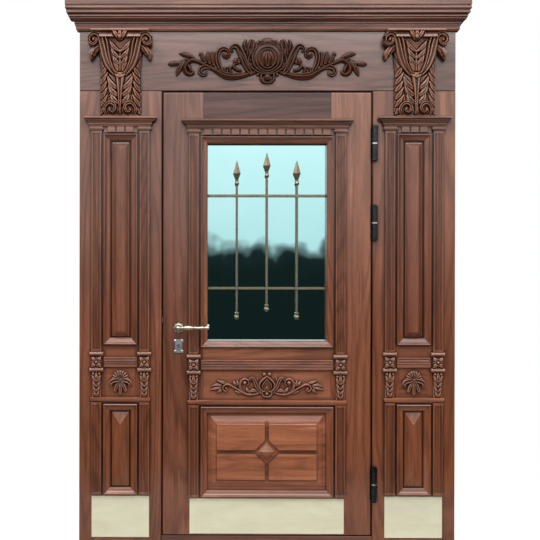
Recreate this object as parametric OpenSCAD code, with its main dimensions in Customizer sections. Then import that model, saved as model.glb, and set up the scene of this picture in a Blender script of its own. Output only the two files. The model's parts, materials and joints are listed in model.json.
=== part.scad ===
// Carved entrance door set: a hinged leaf between two fixed side bays, under a carved frieze and cornice.
// Millimetres. X to the right, Y away from the viewer, Z up from the floor, origin under the sill's centre.
// Every piece is drawn with its front plane at y = 0 and moved to the frame's mid-depth by at_front().

/* [Frame] */
// Clear width between the two jambs
opening_w = 970; // [900:10:1100]
// Height of the frieze board's lower edge above the floor
opening_h = 2090; // [2050:10:2200]
// Width of each side bay
side_w = 380; // [360:5:440]
// Depth of posts, rails and head from front to back
frame_depth = 120; // [112:2:150]
// Height of the threshold
threshold_h = 40; // [24:2:44]
// How far the stops reach into the opening
stop_w = 16; // [12:1:24]
// Outer edge of a side bay to the edge of its panel frames
side_margin = 112; // [106:1:120]
// How much higher the side bays' mouldings sit than the leaf's
side_lift = 12; // [0:1:20]
// Radius of the blind holes for the wall anchors
anchor_r = 6; // [4:0.5:8]
// Depth of the blind holes for the wall anchors
anchor_depth = 70; // [40:5:90]
// Height of the lower pair of wall anchors
anchor_low = 400; // [300:10:600]
// Height of the upper pair of wall anchors
anchor_high = 1750; // [1600:10:1900]

/* [Frieze and cornice] */
// Visible height of the frieze between opening and cornice
frieze_h = 274; // [250:2:320]
// Thickness of the frieze board
frieze_t = 40; // [30:1:50]
// How far the cornice runs back beside the frieze
cornice_return = 24; // [10:1:60]
// Thickness of the board on top of the cornice
cap_t = 12; // [8:1:20]
// Width of the frieze carving
frieze_carving_w = 916; // [700:4:920]
// Greatest projection of the frieze carving
frieze_carving_d = 30; // [18:1:40]
// How far the cornice cap stands out past the posts
cap_over = 66; // [63:1:72]
// Projection of the capitals
capital_d = 84; // [70:1:96]

/* [Leaf] */
// Thickness of the door leaf
leaf_t = 72; // [68:1:76]
// Gap between the leaf and the frame
leaf_gap = 5; // [3:0.5:7]
// Edge of the leaf to the edge of its panel frames
leaf_margin = 175; // [168:1:190]
// Chamfer on the edges along the gap round the leaf
edge_ease = 4; // [2:0.5:6]
// Thickness of the glass unit
glass_t = 24; // [16:1:26]
// Glass face behind the leaf's front
glass_y = 42; // [36:1:44]
// Thickness of the rubber seal behind the leaf
seal_t = 6; // [4:0.5:9]
// Width of the leaf carving
leaf_carving_w = 524; // [400:4:540]
// Greatest projection of the leaf carving
leaf_carving_d = 22; // [14:1:28]

/* [Bay mouldings] */
// Lower edge of the leaf's kick plate
kick_z = 50; // [48:1:60]
// Height of the leaf's kick plate
kick_h = 162; // [120:2:164]
// Lower edge of the side kick plates
side_kick_z = 33; // [20:1:50]
// Height of the side kick plates
side_kick_h = 190; // [150:2:194]
// Thickness of the kick plates
kick_t = 2; // [1:0.1:4]
// Lower edge of the lower panel frames
low_z = 219; // [217:1:260]
// Height of the lower panel frames
low_h = 417; // [380:1:430]
// Height of the waist moulding
waist_h = 23; // [16:1:30]
// Height of the leaf drop below the rosette
drop_h = 116; // [116:1:136]
// Height of each band above and below the rosette
band_h = 17; // [12:1:20]
// Height of the rosette block
rosette_h = 57; // [50:1:62]
// Plain rail between the blocks' top and the upper panel frames
rail_step = 34; // [20:1:60]
// Crown moulding's top below the frieze
head_drop = 133; // [100:1:150]
// Height of the crown moulding
crown_h = 44; // [36:1:56]
// Height of the dentil row
dentil_h = 28; // [22:1:36]
// Spacing of the dentils
dentil_pitch = 42; // [36:1:52]
// Gap between two dentils
dentil_gap = 8; // [6:1:16]
// Width of a pilaster
pilaster_w = 47; // [40:1:54]
// Thickness of a pilaster
pilaster_t = 18; // [14:0.5:22]
// Radius of a pilaster's flutes
flute_r = 4.5; // [3:0.25:5]
// Width of the panel frame moulding
frame_w = 31; // [26:1:34]
// Thickness of the loose panels
panel_t = 24; // [18:1:28]
// Panel margin's face behind the front plane
panel_y = 10; // [8:0.5:14]

/* [Grille] */
// Thickness of the grille's bars and spears
bar_t = 10; // [8:0.5:12]
// Spacing of the spears
spear_pitch = 139; // [110:1:150]
// Length of a spearhead
spear_head = 90; // [70:1:110]
// Width of a spearhead
spear_w = 34; // [26:1:40]
// How much higher the middle spear stands
spear_rise = 36; // [0:1:50]

/* [Hinges and lock] */
// Radius of the hinge barrels
barrel_r = 13; // [11:0.5:14]
// Height of a hinge
hinge_h = 155; // [120:1:170]
// Radius of the hinge pins
pin_r = 6; // [5:0.25:7]
// Radial clearance of pins and necks in their bores
run_clear = 0.05; // [0.02:0.01:0.1]
// Handle height above the floor
handle_z = 1000; // [960:5:1040]
// Handle axis from the leaf's edge
backset = 73; // [64:1:76]
// Handle axis to key hole
lock_centres = 85; // [82:1:92]
// Length of the lever from its axis
lever_l = 142; // [115:1:150]
// Reach of the lever in front of the leaf
lever_reach = 50; // [46:1:60]
// Radius of the lever's neck
neck_r = 9; // [8:0.25:10]
// Latch bolt above the handle axis
latch_rise = 34; // [28:1:40]
// Dead bolt below the handle axis
bolt_drop = 42; // [36:1:46]
// Travel of the latch bolt
latch_travel = 12; // [8:0.5:12]
// Travel of the dead bolt
bolt_travel = 20; // [12:0.5:20]

/* [Hidden] */
$fn = 32;
wood = [0.45, 0.27, 0.19];
brass = [0.85, 0.79, 0.62];
bronze = [0.42, 0.36, 0.25];
black = [0.09, 0.09, 0.1];
steel = [0.72, 0.73, 0.75];
glass = [0.65, 0.82, 0.85];
rubber = [0.12, 0.12, 0.12];

lip = 12;
fit = 0.5;
seal_clear = 0.2;
side_x = opening_w / 2 + side_w / 2;
outer_x = opening_w / 2 + side_w;
side_hw = side_w / 2 - side_margin;
leaf_w = opening_w - 2 * leaf_gap;
leaf_hw = leaf_w / 2 - leaf_margin;
leaf_z = threshold_h + leaf_gap;
leaf_top = opening_h - leaf_gap;
stop_y = leaf_t + seal_t;

waist_z = low_z + low_h + 8;
block_z = waist_z + waist_h + 2;
block_h = drop_h + 2 * band_h + rosette_h;
block_top = block_z + block_h;
up_z = block_top + rail_step;
crown_top = opening_h - head_drop;
crown_z = crown_top - crown_h;
dentil_z = crown_z - dentil_h;
up_h = dentil_z - 5 - up_z;
cap_h = 19;
reed_h = rosette_h - 10;
reed_z = block_z + drop_h + band_h + 3;
pilaster_gap = 9;

cornice_z = opening_h + frieze_h;
cornice_h = 149;
head_top = cornice_z + cornice_h;
capital_h = cornice_z - crown_top - side_lift;
frieze_mid = opening_h + frieze_h / 2;
carving_mid = (waist_z + waist_h + reed_z) / 2;

hinge_x = opening_w / 2 + 8;
collar = 1.5;
hinge_y = -barrel_r - collar - 0.6;
hinge_levels = [leaf_z + 236, leaf_top - 602, leaf_top - 237];
plate_t = 3;
plate_d = 48;
handle_x = -leaf_w / 2 + backset;
key_z = handle_z - lock_centres;
lock_y = leaf_t / 2;
case_t = 16;
case_z0 = key_z - 62;
case_z1 = handle_z + 72;
case_d = 94;
face_w = 22;
face_t = 3;
latch_z = handle_z + latch_rise;
bolt_z = handle_z - bolt_drop;
bolt_t = 11;

// Placing

module at_front() {
  translate([0, -frame_depth / 2, 0]) children();
}

module both_sides() {
  for (s = [-1, 1]) translate([s * side_x, 0, 0]) children();
}

module pair(x) {
  for (s = [-1, 1]) translate([s * x, 0, 0]) children();
}

module box(a, b) {
  translate(a) cube(b - a);
}

// Shapes

// A moulding mitred round a rectangle; the section lists [inset from the outer edge, y]
module mitred_ring(w, h, section) {
  n = len(section);
  corners = [[-1, -1], [1, -1], [1, 1], [-1, 1]];
  points = [for (c = corners) for (p = section) [c.x * (w / 2 - p[0]), p[1], c.y * (h / 2 - p[0])]];
  faces = [for (k = [0:3]) for (i = [0:n - 1])
    let (j = (i + 1) % n, m = (k + 1) % 4) [k * n + i, k * n + j, m * n + j, m * n + i]];
  polyhedron(points, faces);
}

// A moulding with mitred returns on a flat back; the section lists [projection, z] from below upwards
module returned_moulding(half, core, section) {
  n = len(section);
  points = [for (p = section) for (q = [[-1, 0], [-1, 1], [1, 1], [1, 0]])
    [q[0] * (half + p[0]), -q[1] * (core + p[0]), p[1]]];
  skin = [for (i = [0:n - 2]) for (k = [0:2])
    [i * 4 + k, i * 4 + 4 + k, i * 4 + 5 + k, i * 4 + 1 + k]];
  back = concat([for (i = [0:n - 1]) i * 4 + 3], [for (i = [n - 1:-1:0]) i * 4]);
  top = (n - 1) * 4;
  polyhedron(points, concat(skin, [back, [0, 1, 2, 3], [top + 3, top + 2, top + 1, top]]));
}

// A moulding that runs round the front and both ends of a board
module wrapped_moulding(half, back, section) {
  n = len(section);
  points = concat(
    [for (p = section) [-half - p[0], back, p[1]]],
    [for (p = section) [-half - p[0], -p[0], p[1]]],
    [for (p = section) [half + p[0], -p[0], p[1]]],
    [for (p = section) [half + p[0], back, p[1]]]);
  skin = [for (s = [0:2]) for (j = [0:n - 1])
    let (m = (j + 1) % n) [s * n + j, s * n + m, (s + 1) * n + m, (s + 1) * n + j]];
  polyhedron(points, concat(skin, [[for (j = [n - 1:-1:0]) j], [for (j = [0:n - 1]) 3 * n + j]]));
}

// A raised panel field: rectangles [half width, half height, y] from the margin to the field
module raised_field(steps) {
  n = len(steps);
  points = [for (s = steps) for (c = [[-1, -1], [1, -1], [1, 1], [-1, 1]]) [c.x * s[0], s[2], c.y * s[1]]];
  skin = [for (i = [0:n - 2]) for (k = [0:3])
    let (m = (k + 1) % 4) [i * 4 + k, i * 4 + 4 + k, i * 4 + 4 + m, i * 4 + m]];
  top = (n - 1) * 4;
  polyhedron(points, concat(skin, [[0, 1, 2, 3], [top + 3, top + 2, top + 1, top]]));
}

// Carving tools

function spline(a, b, c, d, t) =
  0.5 * (2 * b + (c - a) * t + (2 * a - 5 * b + 4 * c - d) * t * t + (3 * b - a - 3 * c + d) * t * t * t);

function smooth(p, n) = let (e = len(p) - 1) concat(
  [for (i = [0:e - 1]) for (j = [0:n - 1]) spline(p[max(i - 1, 0)], p[i], p[i + 1], p[min(i + 2, e)], j / n)],
  [p[e]]);

function blend(v, t) = (1 - t) * (1 - t) * v[0] + 2 * t * (1 - t) * v[1] + t * t * v[2];

// A ridged rib along a curve in the x-z plane; widths and heights are at its start, middle and end
module rib(curve, widths, heights, n = 3, floor_y = 2) {
  path = smooth(curve, n);
  e = len(path) - 1;
  section = [[-1, 0], [0, 1], [1, 0]];
  m = len(section);
  points = [for (i = [0:e])
    let (
      d = path[min(i + 1, e)] - path[max(i - 1, 0)],
      side = [-d.y, d.x] / norm(d),
      w = blend(widths, i / e),
      h = blend(heights, i / e))
    for (s = section) [path[i].x + side.x * w * s[0], floor_y - (h + floor_y) * s[1], path[i].y + side.y * w * s[0]]];
  skin = [for (i = [0:e - 1]) for (k = [0:m - 1])
    let (j = (k + 1) % m) [i * m + k, i * m + j, (i + 1) * m + j, (i + 1) * m + k]];
  polyhedron(points, concat(skin, [[for (k = [m - 1:-1:0]) k], [for (k = [0:m - 1]) e * m + k]]));
}

// A pointed cut at [x, z] with radius r, standing h proud of depth y
module spike(p, r, h, y, turn) {
  translate([p.x, 2 - y, p.y]) rotate([90, 0, 0]) rotate(turn) cylinder(r1 = r, r2 = 0, h = h + 2, $fn = 4);
}

// A ridged petal from a to b
module petal(a, b, ra, rb, h, y = 0) {
  turn = atan2(b.y - a.y, b.x - a.x);
  hull() {
    spike(a, ra, h, y, turn);
    spike(b, rb, h * 0.7, y, turn);
  }
}

// A round berry
module berry(p, r, h, y = 0) {
  translate([p.x, 2 - y, p.y]) rotate([90, 0, 0]) cylinder(r1 = r, r2 = r * 0.5, h = h + 2, $fn = 7);
}

// Cuts a carving off flush with the board it is glued to
module carved(size) {
  intersection() {
    union() children();
    box([-size, -200, -size], [size, 0, size]);
  }
}

// Scrolling acanthus with a shell cartouche, drawn 916 wide, one half mirrored
module scroll_half() {
  rib([[-7, 97], [64, 82], [86, 24], [50, -46], [-7, -67]], [10, 10, 10], [26, 21, 25], 2);
  rib([[-7, 71], [50, 44], [44, -12], [-7, -45]], [9, 9, 9], [28, 24, 27], 2);
  rib([[56, -48], [161, -77], [245, -40], [330, 8], [384, -26], [347, -54]], [9, 14, 6], [20, 28, 16]);
  rib([[200, -66], [232, 10], [196, 54], [180, 17]], [7, 12, 5], [16, 26, 18]);
  rib([[66, -46], [125, 24], [157, 68], [167, 52]], [9, 14, 6], [22, 28, 18], 2);
  rib([[240, -42], [304, -44], [285, -66]], [6, 8, 4], [14, 18, 12]);
  rib([[72, 30], [92, 86], [112, 80]], [7, 11, 5], [14, 22, 14], 2);
  berry([193, 18], 15, 24);
  petal([112, -10], [144, -4], 7, 12, 22);
  petal([180, -70], [190, -26], 8, 9, 20);
  petal([246, -34], [262, 34], 9, 7, 18);
  petal([340, 10], [404, 32], 8, 5, 16);
  petal([380, -12], [448, -12], 9, 6, 16);
}

module scroll_carving(w, d) {
  s = w / 916;
  scale([s, d / 30, s]) {
    scroll_half();
    mirror([1, 0, 0]) scroll_half();
    petal([0, 26], [0, -26], 24, 10, 30);
    rib([[-28, -60], [0, -98], [28, -60]], [7, 9, 7], [22, 26, 22]);
    translate([0, 4, 0]) rib([[0, 88], [0, 20], [0, -60]], [60, 76, 52], [10, 12, 10], 1);
  }
}

// Half of the acanthus on a capital; x from its centre, z from its foot
module capital_half() {
  rib([[0, 198], [44, 214], [78, 250], [96, 300], [104, 340]], [9, 12, 9], [64, 70, 70], 1);
  petal([10, 222], [24, 318], 10, 8, 14, 58);
  petal([16, 226], [58, 326], 10, 8, 14, 56);
  rib([[10, 24], [40, 70], [60, 120], [86, 172]], [7, 12, 6], [50, 62, 54], 1);
  petal([36, 64], [86, 84], 10, 7, 13, 40);
  petal([48, 104], [92, 126], 10, 7, 13, 40);
  petal([64, 172], [94, 222], 11, 8, 16, 26);
  petal([44, 24], [46, 44], 16, 14, 16, 42);
  rib([[90, 258], [112, 270], [132, 284], [137, 262]], [9, 15, 7], [46, 62, 50], 1);
  petal([8, 348], [26, 376], 7, 7, 10, 72);
}

module volute(c) {
  translate([c.x, 0, c.y]) rotate([90, 0, 0]) cylinder(r = 26, h = capital_d - 18, $fn = 13);
  spiral = [for (a = [0:75:375]) let (r = 23 - 14 * a / 375) c + r * [cos(a + 90), sin(a + 90)]];
  rib(spiral, [5, 5, 4], [capital_d - 8, capital_d - 8, capital_d - 4], 1);
  berry(c, 8, 12, capital_d - 18);
}

// The bell as stacked half ovals [z, half width, depth]
module bell(levels) {
  k = 8;
  points = [for (v = levels) for (i = [0:k])
    let (a = 180 * i / k) [-v[1] * cos(a), 2 - (v[2] + 2) * pow(sin(a), 0.7), v[0]]];
  n = len(levels);
  skin = [for (j = [0:n - 2]) for (i = [0:k])
    let (m = (i + 1) % (k + 1), r = k + 1) [j * r + i, j * r + r + i, j * r + r + m, j * r + m]];
  polyhedron(points, concat(skin, [[for (i = [0:k]) i], [for (i = [k:-1:0]) (n - 1) * (k + 1) + i]]));
}

module capital() {
  h = capital_h;
  d = capital_d;
  carved(420) {
    scale([1, 1, h / 395]) {
      bell([[0, 80, 32], [24, 99, 51], [200, 95, 50], [320, 108, 59], [380, 122, 68]]);
      capital_half();
      mirror([1, 0, 0]) capital_half();
      petal([0, 20], [0, 176], 15, 9, 15, 52);
      rib([[-26, 190], [-14, 178], [0, 174], [14, 178], [26, 190]], [4, 7, 4], [58, 68, 58], 2);
      petal([0, 344], [0, 374], 9, 11, 13, 72);
      volute([119, 350]);
      mirror([1, 0, 0]) volute([119, 350]);
    }
  }
  translate([0, 0, h - 17]) returned_moulding(124, d - 12, [[0, 0], [6, 3], [8, 8], [11, 10], [12, 17]]);
}

// Nine-ribbed shell over a small palmette, 110 wide and tall about its centre
module shell() {
  carved(80) {
    for (a = [-80:20:80])
      petal([6 * sin(a), -8 + 6 * cos(a)], [44 * sin(a), 4 + 44 * cos(a)], 4, 8.5, 20);
    for (a = [-56:56:56])
      petal([4 * sin(a), -10 - 4 * cos(a)], [36 * sin(a), -14 - 36 * cos(a)], 4, 7, 16);
    for (s = [-1, 1]) berry([s * 42, -6], 12, 22);
    berry([0, -8], 11, 22);
  }
}

// Bands, rosette and leaf drop on one block, foot at z = 0
module pilaster_block() {
  w = pilaster_w;
  t = pilaster_t;
  mid = drop_h + band_h + rosette_h / 2;
  for (z = [drop_h, drop_h + band_h + rosette_h])
    translate([0, 0, z]) returned_moulding(w / 2, t, [[2, 0], [9, band_h - 8], [9, band_h - 2], [6, band_h]]);
  box([-w / 2, -t, drop_h - 1], [w / 2, 0, block_h - 1]);
  box([-w / 2 + 3, -t + 5, 0], [w / 2 - 3, 0, drop_h]);
  carved(block_h + 1) {
    for (a = [45:90:315])
      petal([5 * cos(a), mid + 5 * sin(a)], [17 * cos(a), mid + 19 * sin(a)], 5, 6, 10, t - 1);
    for (s = [-1, 1]) {
      petal([s * 5, drop_h - 56], [s * 14, drop_h - 12], 6, 8, 12, t - 5);
      petal([s * 9, 12], [s * 16, drop_h - 64], 6, 5, 10, t - 6);
    }
    petal([0, 10], [0, drop_h - 14], 6, 7, 12, t - 4);
  }
}

// Bay parts, each drawn about the bay's centre line with half width hw of its panel frames

function pilaster_x(hw) = hw + pilaster_gap + pilaster_w / 2;

// A fluted shaft between two plain ends
module pilaster(z0, z1) {
  w = pilaster_w;
  t = pilaster_t;
  plain = 12;
  for (z = [z0, z1 - plain]) box([-w / 2, -t, z], [w / 2, 0, z + plain]);
  translate([0, 0, z0 + plain]) linear_extrude(z1 - z0 - 2 * plain) difference() {
    translate([-w / 2, -t]) square([w, t]);
    for (i = [-1:1]) translate([i * 12, -t]) circle(flute_r, $fn = 12);
    for (s = [-1, 1]) translate([s * w / 2, -t]) rotate(45) square(4, center = true);
  }
}

module upper_pilasters(hw, lift) {
  pair(pilaster_x(hw)) pilaster(block_top + lift, crown_z - cap_h + lift);
}

module lower_pilasters(hw, lift) {
  pair(pilaster_x(hw)) pilaster(low_z + lift, waist_z + lift);
}

// Crown moulding, pilaster caps and a dentil row in one
module entablature(hw, lift) {
  reach = pilaster_x(hw) + pilaster_w / 2;
  count = floor((2 * hw - 12) / dentil_pitch);
  tooth = dentil_pitch - dentil_gap;
  translate([0, 0, lift]) {
    translate([0, 0, crown_z]) returned_moulding(reach, pilaster_t,
      [[6, 0], [7, 5], [10, 9], [13, 10], [13, 13], [11, 14], [12, 18], [18, 23], [26, 27], [28, 29], [27, 31],
        [25, 32], [33, 35], [33, crown_h - 3], [30, crown_h]]);
    pair(pilaster_x(hw)) translate([0, 0, crown_z - cap_h]) returned_moulding(pilaster_w / 2, pilaster_t,
      [[3, 0], [8, 6], [9, 8], [9, 13], [5, 15], [5, cap_h + 1]]);
    box([-hw, -12, dentil_z], [hw, 0, crown_z + 1]);
    for (i = [0:count - 1]) translate([(i - (count - 1) / 2) * dentil_pitch, 0, 0])
      box([-tooth / 2, -22, dentil_z + 2], [tooth / 2, -11, crown_z + 1]);
  }
}

// Section of the planted panel frames, reaching back to the panel or the glass
function frame_section(back) = [[0, 0], [0, -18], [3, -20], [6, -19], [10, -13], [16, -8], [frame_w - 5, -5],
  [frame_w, 0], [frame_w, back], [lip + fit, back], [lip + fit, 0]];

module panel_frame(hw, z0, h, back) {
  translate([0, 0, z0 + h / 2]) mitred_ring(2 * hw, h, frame_section(back));
}

// Section of the beads that hold panels and glass from behind
function bead_section(front, back) = [[lip + fit, front], [frame_w, front], [frame_w - 5, back], [lip + fit, back]];

module rear_bead(hw, z0, h, front, back) {
  translate([0, 0, z0 + h / 2]) mitred_ring(2 * hw, h, bead_section(front, back));
}

// A loose panel with a raised field that rises to a flat of the given half width, or to a ridge
module side_panel(z0, h, flat, hips) {
  hw = side_hw - lip - fit;
  hh = h / 2 - lip - fit;
  inner = side_hw - frame_w;
  run = h / 2 - frame_w;
  translate([0, 0, z0 + h / 2]) {
    box([-hw, panel_y, -hh], [hw, panel_y + panel_t, hh]);
    raised_field([[inner - 4, run - 4, panel_y + 1], [inner - 7, run - 7, 4], [inner - 12, run - 12, 3],
      [flat + 1, run - hips, -8.4], [flat, run - hips - 2, -8.6]]);
  }
}

// The leaf's lower panel: four raised blocks about a lozenge
module leaf_panel() {
  hw = leaf_hw - lip - fit;
  hh = low_h / 2 - lip - fit;
  inner = leaf_hw - frame_w;
  run = low_h / 2 - frame_w;
  channel = 9;
  lozenge = 63;
  translate([0, 0, low_z + low_h / 2]) {
    box([-hw, panel_y, -hh], [hw, panel_y + panel_t, hh]);
    difference() {
      raised_field([[inner - 10, run - 10, panel_y + 1], [inner - 34, run - 38, 2], [inner - 40, run - 44, 1],
        [inner - 44, run - 48, -8], [inner - 46, run - 50, -9]]);
      translate([0, 3, 0]) rotate([90, 0, 0]) linear_extrude(30) {
        square([2 * channel, 2 * run], center = true);
        square([2 * inner, 2 * channel], center = true);
        rotate(45) square(lozenge * sqrt(2), center = true);
      }
    }
    translate([0, 4, 0]) rotate([90, 0, 0]) cylinder(r1 = 43, r2 = 1, h = 18, $fn = 4);
  }
}

module reeded_strip(hw, lift) {
  w = 2 * hw - 2;
  translate([0, 0, reed_z + lift]) difference() {
    returned_moulding(hw - 12, 0, [[8, 0], [10, 2], [10, reed_h - 2], [8, reed_h]]);
    for (i = [0:2]) translate([0, -10, reed_h * (i + 1) / 4]) rotate([0, 90, 0])
      cylinder(r = 4, h = w - 14, center = true, $fn = 12);
  }
}

module waist(hw, lift) {
  translate([0, 0, waist_z + lift]) returned_moulding(pilaster_x(hw) + 14, 8,
    [[4, 0], [7, 4], [9, 6], [14, waist_h - 8], [14, waist_h - 2], [11, waist_h]]);
}

module blocks(hw, lift) {
  pair(pilaster_x(hw)) translate([0, 0, block_z - 2 + lift]) pilaster_block_footed();
}

// The block stands on the waist moulding
module pilaster_block_footed() {
  translate([0, 0, 2]) pilaster_block();
  box([-pilaster_w / 2 + 3, -pilaster_t + 5, 0], [pilaster_w / 2 - 3, 0, 3]);
}

module kick_plate(half, z0, h) {
  box([-half, -kick_t, z0], [half, 0, z0 + h]);
}

// Frame

module post(x0, x1) {
  box([x0, 0, 0], [x1, frame_depth, opening_h]);
}

// Cutters for a chamfer on an upright and on a level front edge
module ease_upright(x) {
  translate([x, 0, -1]) cylinder(r = edge_ease, h = head_top, $fn = 4);
}

module ease_level(z) {
  translate([-outer_x - 1, 0, z]) rotate([0, 90, 0]) cylinder(r = edge_ease, h = 2 * outer_x + 2, $fn = 4);
}

module anchor_holes(s) {
  for (z = [anchor_low, anchor_high])
    translate([s * outer_x, frame_depth / 2, z]) rotate([0, -s * 90, 0]) cylinder(r = anchor_r, h = anchor_depth);
}

module outer_post(s) {
  edge = side_x + side_hw - lip;
  color(wood) at_front() difference() {
    if (s < 0) post(-outer_x, -edge);
    else post(edge, outer_x);
    anchor_holes(s);
  }
}

module left_outer_post() {
  outer_post(-1);
}

module right_outer_post() {
  outer_post(1);
}

// The lock-side jamb has the strike plate's bed and two bolt pockets
module left_jamb() {
  x = -opening_w / 2;
  color(wood) at_front() difference() {
    post(-side_x + side_hw - lip, x);
    box([x - plate_t, lock_y - face_w / 2 - 1, case_z0 - 10], [x + 1, lock_y + face_w / 2 + 1, case_z1 + 10]);
    bolt_pocket(latch_z, 13, latch_travel + 4);
    bolt_pocket(bolt_z, 18, bolt_travel + 4);
    ease_upright(x);
  }
}

module bolt_pocket(z, half, depth) {
  x = -opening_w / 2;
  box([x - depth, lock_y - bolt_t / 2 - 2, z - half], [x + 1, lock_y + bolt_t / 2 + 2, z + half]);
}

// The hinge-side jamb has a bed for each hinge plate
module right_jamb() {
  x = opening_w / 2;
  color(wood) at_front() difference() {
    post(x, side_x - side_hw + lip);
    for (z = hinge_levels) box([x - 1, -1, z - hinge_h / 2 + 8], [x + plate_t, plate_d, z - 3]);
    ease_upright(x);
  }
}

module side_rails() {
  hw = side_hw - lip;
  levels = [[0, low_z + lip], [low_z + low_h - lip, up_z + lip], [up_z + up_h - lip, opening_h - side_lift]];
  color(wood) at_front() both_sides()
    for (v = levels) box([-hw, 0, v[0] > 0 ? v[0] + side_lift : 0], [hw, frame_depth, v[1] + side_lift]);
}

module door_stops() {
  w = opening_w / 2;
  color(wood) at_front() {
    for (s = [-1, 1]) box([s * (w - stop_w / 2) - stop_w / 2, stop_y, threshold_h],
      [s * (w - stop_w / 2) + stop_w / 2, frame_depth, opening_h - stop_w]);
    box([-w, stop_y, opening_h - stop_w], [w, frame_depth, opening_h]);
  }
}

module threshold() {
  w = opening_w / 2;
  color(wood) at_front() {
    box([-w, 0, 0], [w, frame_depth, threshold_h]);
    box([-w + stop_w, stop_y, threshold_h - 1], [w - stop_w, frame_depth, threshold_h + stop_w]);
  }
}

module head_beams() {
  color(wood) at_front() {
    box([-outer_x, frieze_t, opening_h], [outer_x, frame_depth, opening_h + 110]);
    box([-outer_x, frieze_t, head_top - 95], [outer_x, frame_depth, head_top]);
  }
}

module frieze_board() {
  color(wood) at_front() difference() {
    box([-outer_x, 0, opening_h], [outer_x, frieze_t, head_top]);
    ease_level(opening_h);
  }
}

module cornice() {
  color(wood) at_front() translate([0, 0, cornice_z]) wrapped_moulding(outer_x, cornice_return,
    [[0, 0], [10.5, 0], [16, 8], [16.5, 23], [20, 24], [20, 28], [17.5, 30.5], [17.5, 32.5], [23, 33.5], [23, 37.5],
      [20, 40], [22, 44.5], [28, 49], [37, 51], [43, 52], [43, 55], [39.5, 57], [46, 59], [47.5, 62.5], [46.5, 66.5],
      [43, 69.5], [44, 72], [53, 74], [56.5, 78], [55.5, 84.5], [52, 87], [52, 90], [59, 92.5], [61.5, 98], [60.5, 105],
      [57, 108], [57, 111], [61.5, 112.5], [61.5, cornice_h], [0, cornice_h]]);
}

module cornice_cap() {
  x = outer_x + cap_over;
  color(wood) at_front() box([-x, -cap_over, head_top], [x, cornice_return, head_top + cap_t]);
}

module frieze_carving() {
  color(wood) at_front() translate([0, 0, frieze_mid])
    carved(frieze_carving_w) scroll_carving(frieze_carving_w, frieze_carving_d);
}

module left_capital() {
  color(wood) at_front() translate([-side_x, 0, crown_top + side_lift]) capital();
}

module right_capital() {
  color(wood) at_front() translate([side_x, 0, crown_top + side_lift]) capital();
}

module side_entablatures() {
  color(wood) at_front() both_sides() entablature(side_hw, side_lift);
}

module side_upper_pilasters() {
  color(wood) at_front() both_sides() upper_pilasters(side_hw, side_lift);
}

module side_upper_frames() {
  color(wood) at_front() both_sides() panel_frame(side_hw, up_z + side_lift, up_h, panel_y);
}

module side_upper_panels() {
  color(wood) at_front() both_sides() side_panel(up_z + side_lift, up_h, side_hw - frame_w - 28, 28);
}

module side_reeded_strips() {
  color(wood) at_front() both_sides() reeded_strip(side_hw, side_lift);
}

module side_blocks() {
  color(wood) at_front() both_sides() blocks(side_hw, side_lift);
}

module side_shells() {
  color(wood) at_front() both_sides() translate([0, 0, carving_mid + side_lift]) shell();
}

module side_waists() {
  color(wood) at_front() both_sides() waist(side_hw, side_lift);
}

module side_lower_pilasters() {
  color(wood) at_front() both_sides() lower_pilasters(side_hw, side_lift);
}

module side_lower_frames() {
  color(wood) at_front() both_sides() panel_frame(side_hw, low_z + side_lift, low_h, panel_y);
}

module side_lower_panels() {
  color(wood) at_front() both_sides() side_panel(low_z + side_lift, low_h, 1.5, 62);
}

module side_kick_plates() {
  color(brass) at_front() both_sides() kick_plate(pilaster_x(side_hw) + 22, side_kick_z, side_kick_h);
}

module side_rear_beads() {
  y = panel_y + panel_t;
  color(wood) at_front() both_sides() {
    rear_bead(side_hw, up_z + side_lift, up_h, y, y + 16);
    rear_bead(side_hw, low_z + side_lift, low_h, y, y + 16);
  }
}

module frame_seal() {
  w = opening_w / 2 - 2;
  color(rubber) at_front() difference() {
    box([-w, leaf_t + seal_clear, threshold_h], [w, stop_y, opening_h - 2]);
    box([-w + 9, 0, 0], [w - 9, frame_depth, opening_h - 11]);
  }
}

module strike_plate() {
  x = -opening_w / 2;
  color(steel) at_front() difference() {
    box([x - plate_t, lock_y - face_w / 2 - 1 + 0.1, case_z0 - 9.9], [x, lock_y + face_w / 2 + 0.9, case_z1 + 9.9]);
    for (v = [[latch_z, 13], [bolt_z, 18]])
      box([x - plate_t - 1, lock_y - bolt_t / 2 - 2, v[0] - v[1]], [x + 1, lock_y + bolt_t / 2 + 2, v[0] + v[1]]);
  }
}

// Lift-off hinges: the lower half stands on the jamb, the upper half hangs on the leaf

module knuckle(z0, z1, bore) {
  difference() {
    translate([hinge_x, hinge_y, z0]) cylinder(r = barrel_r, h = z1 - z0);
    translate([hinge_x, hinge_y, z0 - 1]) cylinder(r = bore, h = z1 - z0 + 2);
  }
}

module hinge_end(z, s) {
  translate([hinge_x, hinge_y, z]) cylinder(r = barrel_r + collar, h = 7);
  translate([hinge_x, hinge_y, s < 0 ? z - 5 : z + 7]) cylinder(r = barrel_r - 4, h = 5);
}

module frame_hinges() {
  x = opening_w / 2;
  bore = pin_r + run_clear;
  color(black) at_front() for (z = hinge_levels) {
    difference() {
      union() {
        knuckle(z - hinge_h / 2, z - 3, bore);
        hinge_end(z - hinge_h / 2, -1);
        box([x, hinge_y + pin_r + 3, z - hinge_h / 2 + 9], [x + plate_t, plate_d - 0.2, z - 4]);
      }
      translate([hinge_x, hinge_y, z - hinge_h / 2 + 10]) cylinder(r = bore, h = hinge_h);
    }
  }
}

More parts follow.
